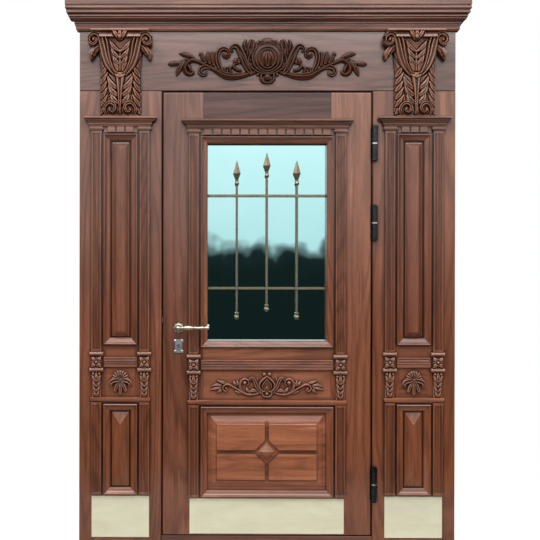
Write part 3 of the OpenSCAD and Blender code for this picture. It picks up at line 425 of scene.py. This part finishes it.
class Relief:
    """Heights in millimetres over a board, drawn for x >= 0 and mirrored.

    Later strokes cut into earlier ones.
    """

    STEPS = 16  # places along a stroke for each of its points
    MARGIN = 8  # room round a stroke for its groove
    GROOVE = 2.6  # reach of that groove
    STANDING = 3  # what stands this much over a stroke isn't cut by it
    NEARBY = 4.5  # reach of the surroundings that a cavity is measured against
    DEEP = 4.0  # depth of a full cavity
    EDGE = 1.2  # width of a stroke's rim, in steps of the grid
    SKIN = 0.3  # lower places are left to the board behind

    def __init__(self, half_width, low, high, step):
        self.step = step
        self.x = np.arange(0, half_width + step, step)
        self.z = np.arange(low, high + step, step)
        self.X, self.Z = np.meshgrid(self.x, self.z)
        self.h = np.zeros_like(self.X)
        self.ground = np.zeros_like(self.X)

    def body(self, levels, half_widths, depths, flat):
        """A bell under the strokes, from its half widths and depths at some levels."""
        half = np.interp(self.Z, levels, half_widths)
        depth = np.interp(self.Z, levels, depths)
        inside = (self.X < half) & (self.Z >= levels[0]) & (self.Z <= levels[-1])
        self.ground = np.where(inside, depth * np.clip(1 - (self.X / half) ** flat, 0, 1) ** 0.5, 0)
        self.h = np.maximum(self.h, self.ground)

    def slab(self, half_width, low, high, height, edge=2.5, rise=0.0):
        """A rectangle across the middle, with rounded edges; rise is added to its height at the top."""
        inset = np.minimum.reduce([half_width - self.X, self.Z - low, high - self.Z])
        section = 1 - 0.4 * (1 - np.clip(inset / edge, 0, 1)) ** 2
        level = height + rise * (self.Z - low) / (high - low)
        self.h = np.where(inset >= 0, np.maximum(self.h, level * section), self.h)

    def window(self, low, high):
        """The part of the grid between two corners."""
        i0, i1 = np.searchsorted(self.x, [low[0], high[0]])
        j0, j1 = np.searchsorted(self.z, [low[1], high[1]])
        return slice(max(j0 - 1, 0), j1 + 1), slice(max(i0 - 1, 0), i1 + 1)

    def lay(self, area, q, width, surface, halo):
        """Unites a stroke with the relief, cutting a groove round it.

        q is the distance from the stroke's spine over its half width.
        """
        inside = np.clip((1 - q) * width / (self.EDGE * self.step) + 0.5, 0, 1)
        under = self.h[area]
        cut = (q > 1) & (under < surface + self.STANDING)
        groove = cut * np.exp(-(((q - 1) * width / self.GROOVE) ** 2))
        under = under * (1 - halo * groove)
        self.h[area] = np.where(inside > 0, np.maximum(under, surface * inside), under)

    def stroke(self, points, widths, heights, form="round", base=0.0, halo=0.5):
        """A carved line along a curve; widths are half widths, spread over its length like the heights."""
        count = self.STEPS * len(points)
        line = smooth_line(points, count)
        w, h = spread(widths, count), spread(heights, count)
        reach = w.max() + self.MARGIN
        area = self.window(line.min(0) - reach, line.max(0) + reach)
        far = np.hypot(self.X[area][..., None] - line[:, 0], self.Z[area][..., None] - line[:, 1]) / w
        k, q = far.argmin(-1), far.min(-1)
        section = SECTIONS[form](np.clip(q, 0, 1))
        self.lay(area, q, w[k], np.maximum(self.ground[area], base) + h[k] * section, halo)

    def ball(self, centre, radius, height, base=0.0):
        """A berry, or the eye of a scroll."""
        self.stroke([centre, (centre[0], centre[1] + 0.01)], (radius,), (height,), base=base, halo=0.6)

    def cavity(self):
        """How deep each place lies under its surroundings, from -1 on crests to 1 in grooves."""
        reach = max(2, round(self.NEARBY / self.step))
        n = 2 * reach + 1
        padded = np.pad(self.h, reach, mode="edge")
        total = np.cumsum(np.cumsum(np.pad(padded, ((1, 0), (1, 0))), 0), 1)
        mean = (total[n:, n:] - total[:-n, n:] - total[n:, :-n] + total[:-n, :-n]) / n**2
        return np.clip((mean - self.h) / self.DEEP, -1, 1)

    def mesh(self, name, centre, deepest):
        """The raised places as a mesh no deeper than the given depth.

        centre is where x = z = 0 meets the board.
        """
        x = np.concatenate([-self.x[:0:-1], self.x])
        heights = np.minimum(self.h, deepest / MM)
        h, c = (np.hstack([part[:, :0:-1], part]) for part in (heights, self.cavity()))
        raised = h > self.SKIN
        cell = raised[:-1, :-1] | raised[1:, :-1] | raised[:-1, 1:] | raised[1:, 1:]
        used = np.zeros_like(raised)
        for dj in (0, 1):
            for di in (0, 1):
                used[dj:used.shape[0] - 1 + dj, di:used.shape[1] - 1 + di] |= cell
        index = np.full(h.shape, -1)
        index[used] = np.arange(used.sum())
        X, Z = np.meshgrid(x, self.z)
        points = np.stack([centre.x + X[used] * MM, centre.y - h[used] * MM, centre.z + Z[used] * MM], 1)
        j, i = np.nonzero(cell)
        faces = np.stack([index[j, i], index[j, i + 1], index[j + 1, i + 1], index[j + 1, i]], 1)
        made = make_mesh(name, points.tolist(), faces.tolist())
        # the cavity later paints shade in grooves and highlights on crests
        cavity = made.data.attributes.new("cavity", "FLOAT", "POINT")
        cavity.data.foreach_set("value", c[used].astype(np.float32))
        return made


def draw_frieze_scrolls():
    """Half of the frieze carving, from its middle: scrolls of acanthus beside a ribbed shield."""
    r = Relief(458, -105, 106, step=1.8)
    # plumes behind the shield
    r.stroke([(92, 10), (80, 50), (70, 86)], (20, 26, 12), (10, 12, 8))
    for plume in ([(102, 50), (106, 76), (99, 95)], [(94, 28), (88, 64), (76, 97)],
                  [(72, 18), (68, 54), (61, 86)], [(60, 28), (53, 66), (38, 92)]):
        r.stroke(plume, (8, 9, 4), (16, 20, 14), "keel", halo=0.6)
    # buds and leaves at the outer end
    r.stroke([(332, 4), (346, 16), (362, 24), (384, 31), (405, 34)],
             (6, 7, 11, 11, 2), (12, 14, 18, 16, 8))
    r.stroke([(384, -6), (406, -10), (425, -12), (442, -14), (457, -15)],
             (6, 7, 11, 10, 2), (12, 14, 18, 16, 8))
    r.stroke([(390, -2), (402, -30), (412, -50), (418, -69)], (9, 12, 10, 2), (14, 18, 16, 8), "leaf")
    r.stroke([(378, 2), (388, -18), (394, -40)], (8, 9, 3), (14, 18, 12), "keel")
    # lobes over the stem and tufts under the volute
    for lobe in ([(284, -6), (296, 14), (305, 31)], [(266, -10), (273, 14), (273, 36)],
                 [(246, -16), (251, 12), (250, 36)]):
        r.stroke(lobe, (8, 10, 8), (14, 18, 18), "leaf", halo=0.6)
    r.ball((306, 32), 9, 21)
    for tuft in ([(190, -60), (197, -46), (193, -32), (183, -31)],
                 [(164, -60), (173, -42), (168, -27), (158, -25)],
                 [(126, -44), (144, -39), (155, -27), (150, -13), (138, -12)]):
        r.stroke(tuft, (7, 8, 6, 4), (16, 20, 16), "keel", halo=0.6)
    r.stroke([(110, -14), (130, 2), (146, 8)], (7, 9, 6), (16, 20, 18), "keel")
    r.ball((148, -2), 10, 22)
    r.ball((131, -6), 8, 22)
    # hook under the stem
    r.stroke([(246, -40), (272, -30), (292, -29), (308, -40), (309, -54), (298, -64), (284, -61), (282, -51)],
             (6, 9, 11, 10, 9, 8, 6, 5), (14, 18, 22, 22, 20, 18), "channel", halo=0.6)
    # stem with its curled end
    r.stroke([(60, -52), (84, -58), (118, -68), (150, -71), (186, -69), (215, -57), (243, -41), (272, -26),
              (300, -12), (325, -1), (346, 3), (362, -4), (375, -20), (379, -38), (372, -54), (357, -61),
              (344, -56), (343, -46)],
             (8, 10, 12, 15, 16, 13, 9, 8, 8, 9, 10, 11, 12, 12, 11, 9, 7, 5),
             (16, 20, 24, 26, 26, 24, 22, 22, 22, 22, 24, 24, 24, 24, 22, 22, 20, 18), "keel", halo=0.6)
    r.stroke([(150, -62), (190, -57), (220, -44)], (5, 7, 4), (26, 27, 24), "keel")
    r.stroke([(366, -18), (358, -32), (352, -47)], (6, 8, 5), (20, 24, 22), "keel", halo=0.6)
    # volute and the scroll beside the shield
    r.stroke([(203, -58), (217, -34), (228, -6), (230, 22), (222, 46), (205, 56), (187, 52), (176, 37),
              (178, 23), (190, 14)],
             (8, 10, 11, 11, 10, 9, 8, 7, 6, 5), (18, 22, 26, 26, 26, 24, 22, 20), "channel", halo=0.6)
    r.ball((194, 27), 14, 27)
    r.stroke([(76, -57), (91, -36), (104, -8), (114, 18), (124, 42), (136, 62), (150, 69), (164, 62),
              (169, 50), (160, 44)],
             (9, 13, 16, 17, 16, 13, 11, 8, 6, 4), (20, 24, 28, 28, 26, 24, 22, 18), "channel", halo=0.6)
    r.stroke([(88, -40), (108, 4), (126, 42)], (4, 5, 3), (27, 31, 28), "keel", halo=0.3)
    # ribbed shield over a ring
    r.stroke([(0, 70), (0, 20), (0, -32)], (36, 74, 40), (16, 20, 14), halo=0.0)
    bow = ((0.45, 0.08), (0.84, 0.30), (1.0, 0.55), (0.8, 0.80), (0.34, 0.96))
    for half, top, low, height in ((88, 80, -62, 20), (69, 88, -56, 23),
                                   (52, 66, -48, 26), (37, 54, -36, 29)):
        side = [(half * x, top - (top - low) * z) for x, z in bow]
        r.stroke([(-4, top), *side, (-4, low)], (6, 6, 6), (height, height - 2, height), "keel", halo=0.5)
    r.stroke([(0, 40), (0, 12), (0, -20)], (4, 20, 12), (27, 33, 27), "leaf", halo=0.7)
    r.stroke([(29, -62), (28, -84), (13, -100), (-5, -102)], (7, 7, 7), (20, 25, 25), "keel", halo=0.6)
    r.ball((0, -76), 15, 25)
    r.ball((44, -63), 7, 18)
    return r


def draw_leaf_scrolls():
    """Half of the leaf carving, from its middle: a flat spray beside a pointed shield."""
    r = Relief(262, -60, 61, step=1.2)
    # leaves
    for leaf in ([(186, 4), (206, 12), (229, 21)], [(206, -4), (230, 1), (255, -6)],
                 [(210, -12), (236, -15), (260, -22)], [(202, -18), (216, -26), (229, -36)],
                 [(138, -8), (147, 6), (154, 18)], [(122, -12), (133, 4), (138, 21)],
                 [(44, -4), (48, 14), (44, 32)], [(108, -34), (128, -33), (148, -26)]):
        r.stroke(leaf, (4.5, 7, 2), (10, 14, 9), "leaf", halo=0.6)
    r.stroke([(44, -31), (62, -25), (84, -32)], (4, 9, 3), (12, 17, 12), "leaf")
    r.stroke([(76, -38), (90, -24), (94, -12)], (4, 7, 2), (12, 15, 10), "leaf")
    # stem with its curled end, volute and the scroll beside the shield
    r.stroke([(28, -33), (58, -42), (84, -43), (108, -35), (132, -21), (158, -6), (180, 3), (196, -2),
              (203, -14), (197, -25), (186, -27), (181, -19)],
             (5, 7, 8, 7, 6, 6, 6, 6, 5, 5, 4, 3), (14, 18, 18, 17, 18, 18, 16), "keel", halo=0.6)
    r.ball((188, -16), 5.5, 16)
    r.stroke([(110, -34), (123, -14), (122, 10), (108, 27), (90, 24), (83, 9), (91, -1)],
             (5, 7, 7, 6, 5, 4, 3), (14, 18, 20, 18, 14), "keel", halo=0.6)
    r.ball((102, 11), 9, 20)
    r.stroke([(32, -28), (46, -10), (53, 12), (62, 29), (75, 33), (84, 24)],
             (5, 7, 8, 7, 5, 3), (16, 20, 20, 16), "channel", halo=0.6)
    r.ball((78, 24), 4.5, 16)
    # pointed shield, two balls above and a ring below
    r.stroke([(0, 26), (0, 4), (0, -20)], (8, 26, 20), (13, 14, 13), halo=0.0)
    for shield, width in (([(-2, 43), (16, 27), (31, 11), (36, -7), (26, -24), (12, -31)], 6),
                          ([(-2, 29), (11, 14), (20, -2), (19, -14)], 4.5),
                          ([(-2, 17), (8, 4), (11, -8)], 3.5)):
        r.stroke(shield, (width, width, 0.8 * width), (19, 21, 18), "keel", halo=0.6)
    r.ball((0, -13), 6, 21)
    r.ball((12, 50), 8, 18)
    r.stroke([(20, -31), (21, -43), (10, -52), (-3, -54)], (5, 5.5, 5.5), (17, 20, 20), "keel", halo=0.6)
    r.ball((0, -40), 8, 20)
    r.ball((28, -36), 4.5, 15)
    return r


def arched(foot, tip, out, down):
    """Three points from foot to tip, the middle one moved out and down."""
    return [foot, (0.5 * (foot[0] + tip[0]) + out, 0.5 * (foot[1] + tip[1]) - down), tip]


def draw_capital():
    """Half of an acanthus capital, x from its middle and z from its foot."""
    r = Relief(145, 0, 395, step=1.6)
    r.body((0, 24, 200, 320, 380), (80, 96, 92, 104, 118), (30, 44, 42, 48, 54), flat=4)
    # lower tier: lobes up the flank, a scroll at the foot, and a broad leaf opening from a narrow stalk
    for rise in (0, 34, 68, 102, 136, 170):
        r.stroke([(88, 12 + rise), (76, 30 + rise), (57, 62 + rise)],
                 (4, 11, 3), (12, 16, 12), "leaf", base=24, halo=0.35)
    r.stroke([(64, 4), (72, 28), (62, 52), (44, 60), (26, 50), (23, 32), (34, 20), (47, 26), (46, 38)],
             (5, 7, 8, 9, 8, 7, 6, 5, 3), (18, 21, 22, 22, 21, 20), "channel", halo=0.4)
    for foot, tip in (((3, 56), (40, 104)), ((5, 90), (51, 142)), ((8, 122), (56, 178))):
        r.stroke(arched(foot, tip, 8, 5), (8, 14, 4), (18, 22, 18), "leaf", halo=0.45)
    r.stroke([(0, 12), (0, 66), (0, 124), (0, 176)], (4, 7, 12, 20), (25, 26, 26, 24), "channel", halo=0.4)
    r.slab(84, 0, 8, 40)
    # calyx: two plain petals with lobes over them, a rim, and bands that run up into the horns
    r.stroke([(14, 206), (21, 232), (20, 262)], (8, 17, 11), (12, 14, 12), halo=0.4)
    for foot, tip in (((2, 236), (32, 274)), ((2, 264), (40, 308)), ((2, 294), (46, 340))):
        r.stroke(arched(foot, tip, 5, 4), (5, 11, 3), (15, 20, 15), "leaf", halo=0.5)
    r.stroke([(0, 206), (0, 244), (0, 290)], (5, 6, 3), (14, 17, 12), "keel", halo=0.5)
    r.stroke([(38, 196), (62, 230), (84, 276), (98, 318)], (6, 8, 9, 6), (12, 16, 18, 16), "keel", halo=0.4)
    r.stroke([(26, 190), (52, 226), (69, 268), (80, 314), (90, 354), (104, 373), (125, 374), (142, 357),
              (140, 337), (123, 327), (108, 336), (109, 351), (121, 355)],
             (7, 12, 14, 14, 12, 9, 9, 8, 8, 7, 6, 5, 4), (14, 17, 19, 22, 26, 28, 26, 26, 26),
             "channel", base=42, halo=0.5)
    r.stroke([(-4, 193), (22, 200), (40, 236), (52, 284), (59, 332), (68, 360)],
             (5, 5, 5, 5, 5, 4), (22, 24, 24, 24, 24, 20), "keel", halo=0.5)
    r.ball((121, 346), 7, 27, base=42)
    r.stroke([(92, 320), (112, 308), (129, 286), (135, 262)],
             (9, 16, 15, 4), (16, 26, 26, 14), "keel", base=36, halo=0.6)
    r.stroke([(114, 306), (124, 290), (131, 272)], (3, 6, 2), (28, 32, 26), "round", base=36, halo=0.4)
    r.stroke([(-5, 176), (12, 179), (22, 190)], (8, 7, 3), (28, 28, 22), halo=0.6)
    # abacus over plain sloping plates, with its flower
    r.slab(96, 356, 385, 74, rise=-12)
    r.slab(134, 383, 395, 80)
    r.stroke([(4, 350), (20, 372), (32, 394)], (8, 10, 6), (10, 14, 10), "leaf", base=66, halo=0.6)
    r.stroke([(0, 352), (0, 374), (0, 394)], (8, 9, 6), (10, 14, 10), "leaf", base=66, halo=0.6)
    r.ball((0, 357), 9, 17, base=66)
    return r


def draw_shell():
    """Half of a side shell, from its middle: a ribbed fan over two curled and three hanging leaves."""
    r = Relief(54, -56, 56, step=1.0)
    r.stroke([(4, 4), (15, -16), (24, -37)], (8, 10, 7), (15, 19, 17), "leaf", halo=0.6)
    r.stroke([(0, 6), (0, -22), (0, -49)], (8, 10, 7), (17, 21, 19), "leaf", halo=0.6)
    r.stroke([(6, 9), (24, 9), (39, 4), (47, -7), (41, -15)],
             (7, 10, 11, 8, 5), (16, 21, 22, 20, 16), "channel", halo=0.6)
    r.ball((43, -7), 7, 22)
    r.stroke([(0, 18), (0, 26)], (30, 30), (16, 16), "round", halo=0.6)
    for turn in (1.5, 1.12, 0.75, 0.37, 0.0):
        rib = [(reach * math.sin(turn), 16 + reach * math.cos(turn)) for reach in (4, 20, 34)]
        r.stroke(rib, (2, 4, 5.5), (17, 22, 19), "round", halo=0.35)
    r.ball((0, 13), 6, 23)
    return r


def draw_block():
    """Half of a pilaster block: leaf drop, band, rosette, band, z from the foot."""
    r = Relief(33, 0, 209, step=1.2)
    r.slab(20.5, 0, 119, 11, edge=3)
    r.slab(23.5, 134, 193, 15, edge=3)
    for foot in (118, 192):
        r.slab(32.5, foot, foot + 17, 22, edge=3)
        r.slab(32.5, foot + 3, foot + 14, 27, edge=5)
    # rosette of four petals
    heart = 163
    for rise in (-1, 1):
        r.stroke([(2, heart + 2 * rise), (12, heart + 13 * rise), (20, heart + 22 * rise)],
                 (5, 9, 3), (7, 10, 6), "leaf", base=14, halo=0.6)
        r.stroke([(0, heart + 6 * rise), (0, heart + 20 * rise)], (4, 3), (7, 5), "keel", base=14)
    r.stroke([(6, heart), (20, heart)], (4, 3), (7, 5), "keel", base=14)
    r.ball((0, heart), 7, 12, base=15)
    # drop of leaves
    r.stroke([(0, 84), (0, 40), (0, 6)], (5, 4, 3), (6, 7, 5), "keel", base=11)
    for level, reach in ((14, 12), (36, 15), (58, 17)):
        r.stroke([(1, level - 8), (reach * 0.6, level + 2), (reach, level + 24)],
                 (4, 7, 2.5), (6, 10, 7), "keel", base=11, halo=0.7)
    r.stroke([(2, 76), (11, 84), (17, 100)], (5, 7, 4), (8, 11, 8), "leaf", base=11, halo=0.7)
    r.stroke([(0, 80), (0, 94), (0, 112)], (5, 8, 5), (8, 12, 9), "leaf", base=11, halo=0.7)
    r.ball((14, 109), 6, 11, base=11)
    return r


# Pieces


def soften(piece, width):
    """Rounds the sharp edges of a CAD node."""
    piece.modifiers.new("joined_corners", "WELD").merge_threshold = 1e-5
    edges = piece.modifiers.new("soft_edges", "BEVEL")
    edges.width = width
    edges.segments = 2
    edges.angle_limit = math.radians(35)
    edges.harden_normals = True


def middle(node):
    """The middle of a CAD node's box."""
    lo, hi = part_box(node)
    return (lo + hi) / 2


def joined(pieces):
    """Several meshes as one object, the first of them."""
    if len(pieces) > 1:
        with bpy.context.temp_override(active_object=pieces[0], selected_editable_objects=pieces):
            bpy.ops.object.join()
    return pieces[0]


def finish(piece, body, material, *replaced):
    """Gives a piece its material and its body, and puts it in the place of CAD nodes."""
    piece.data.materials.append(material)
    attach(piece, body)
    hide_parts(*replaced)


def carve(name, node, body, relief, xs, level, material):
    """Copies of a relief side by side, in the place of a CAD node; level is their z = 0."""
    lo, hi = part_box(node)
    copies = [relief.mesh(name, Vector((x, hi.y, level)), hi.y - lo.y) for x in xs]
    finish(joined(copies), body, material, node)


make_camera()
make_world()
make_floor()
make_lamp("sky_panel", place=(-0.5, -3.2, 4.8), aim=(0, 0, 1.0), size=(6.0, 4.0), power=270, mirrored=True)
make_lamp("front_panel", place=(0.8, -5.5, 1.6), aim=(0, 0, 1.2), size=(3.5, 3.0), power=55)
make_lamp("back_panel", place=(0.5, 4.0, 3.6), aim=(0, 0, 1.2), size=(3.5, 2.5), power=90)

oak = {axis: wood("oak_" + axis.lower(), axis) for axis in "XZ"}
# the high rail is painted darker and cooler than the low one: a painted reflection
rail_oak = wood("oak_rails", "X", tone=1.6, gloss=0.6, upper=(0.20, 0.30, 0.56, 1))
cornice_oak = wood("oak_cornice", "X", tone=1.12, gloss=0.42)
carved_oak = wood("oak_carved", "X", tone=1.03, crest=0.46, gloss=0.7)
capital_oak = wood("oak_capital", "Z", tone=0.99, crest=0.37, gloss=0.55)
dark_oak = wood("oak_frieze_carving", "X", tone=0.42, crest=0.5, gloss=0.18, upper=(0.98, 0.84, 0.8, 1))
frame_oak = wood("oak_frames", "frame", gloss=0.75)
# the panels get a wider painted shade round their frames
panel_oak = {axis: wood("oak_panels_" + axis.lower(), axis, gloss=0.7, corner=0.035, figure=0.2)
             for axis in "XZ"}
METALS = {
    "brushed_brass": brushed("brushed_brass", (255, 251, 219), (242, 235, 203), 0.36, metallic=0.4),
    "grille_bronze": patina("grille_bronze", (150, 138, 114), (56, 49, 40), 0.36),
    "handle_brass": patina("handle_brass", (200, 188, 168), (78, 69, 57), 0.30),
    "escutcheon_steel": brushed("escutcheon_steel", (220, 220, 220), (150, 153, 157), 0.30, metallic=0.9),
    "lock_steel": brushed("lock_steel", (190, 192, 196), (140, 142, 148), 0.32, along="Z"),
    "washer_steel": brushed("washer_steel", (236, 236, 234), (200, 200, 198), 0.18),
    "hinge_black": patina("hinge_black", (72, 72, 76), (9, 9, 11), 0.24, metallic=1.0, corner=0.05),
    "tinted_glass": mirror_glass(),
    "seal_rubber": rubber(),
}
OWN_OAK = {
    "cornice": cornice_oak,
    "cornice_cap": cornice_oak,
    "leaf_rails": rail_oak,
    "glazing_bead": frame_oak,
    "side_upper_frames": frame_oak,
    "side_lower_frames": frame_oak,
    "leaf_lower_frame": frame_oak,
    "side_upper_panels": panel_oak["Z"],
    "side_lower_panels": panel_oak["Z"],
    "leaf_lower_panel": panel_oak["X"],
}
# of the other boards, those with level grain
LEVEL_BOARDS = {"side_rails", "threshold", "head_beams", "frieze_board", "side_entablatures",
                "leaf_entablature", "side_waists", "leaf_waist", "side_reeded_strips", "leaf_reeded_strip"}
# tone of each board; the cool tint of frieze_board is painted sky sheen
BOARD_TINTS = {
    "frieze_board": (0.9, 1.0, 1.16),
    "left_outer_post": (1.2, 1.2, 1.2),
    "left_jamb": (1.1, 1.08, 1.05),
    "right_jamb": (1.24, 1.18, 1.0),
    "right_outer_post": (1.28, 1.2, 0.98),
    "side_rails": (1.3, 1.3, 1.25),
    "side_entablatures": (1.2, 1.18, 1.12),
    "side_upper_pilasters": (1.25, 1.25, 1.25),
    "side_upper_frames": (1.15, 1.13, 1.1),
    "side_upper_panels": (1.2, 1.2, 1.2),
    "side_reeded_strips": (1.6, 1.54, 1.42),
    "side_waists": (2.1, 2.0, 1.85),
    "side_lower_pilasters": (1.3, 1.3, 1.2),
    "side_lower_frames": (1.4, 1.36, 1.24),
    "side_lower_panels": (1.4, 1.36, 1.22),
    "hinge_stile": (1.42, 1.4, 1.28),
    "leaf_rails": (1.03, 1.13, 1.2),
    "leaf_entablature": (1.2, 1.18, 1.12),
    "leaf_upper_pilasters": (1.25, 1.25, 1.2),
    "glazing_bead": (1.25, 1.2, 1.12),
    "leaf_reeded_strip": (1.6, 1.54, 1.42),
    "leaf_waist": (2.1, 2.0, 1.85),
    "leaf_lower_pilasters": (1.2, 1.2, 1.15),
    "leaf_lower_frame": (1.55, 1.5, 1.36),
    "leaf_lower_panel": (1.95, 2.0, 1.95),
}

for part in frame["record"]["subparts"]:
    name, slot = part["node"], part["material_slot"]
    shown = nodes[name]
    shown.data.materials.clear()
    if slot in METALS:
        shown.data.materials.append(METALS[slot])
        continue
    shown.data.materials.append(OWN_OAK.get(name, oak["X" if name in LEVEL_BOARDS else "Z"]))
    shown.color = BOARD_TINTS.get(name, (1, 1, 1)) + (1,)
    soften(shown, SOFT_EDGE)

carve("frieze_scrolls", "frieze_carving", "frame", draw_frieze_scrolls(), [0],
      middle("frieze_carving").z, dark_oak)
carve("leaf_scrolls", "leaf_carving", "leaf", draw_leaf_scrolls(), [0], middle("leaf_carving").z, carved_oak)
carve("carved_shells", "side_shells", "frame", draw_shell(), [-BAY, BAY], middle("side_shells").z, carved_oak)
block = draw_block()
bay_blocks = [side * BAY + step for side in (-1, 1) for step in (-BAY_SPREAD, BAY_SPREAD)]
carve("carved_bay_blocks", "side_blocks", "frame", block, bay_blocks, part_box("side_blocks")[0].z, carved_oak)
carve("carved_leaf_blocks", "leaf_blocks", "leaf", block, [-LEAF_SPREAD, LEAF_SPREAD],
      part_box("leaf_blocks")[0].z, carved_oak)
capital = draw_capital()
for side in ("left", "right"):
    node = side + "_capital"
    carve(side + "_acanthus", node, "frame", capital, [middle(node).x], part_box(node)[0].z, capital_oak)

scene = bpy.context.scene
scene.view_settings.view_transform = "Standard"
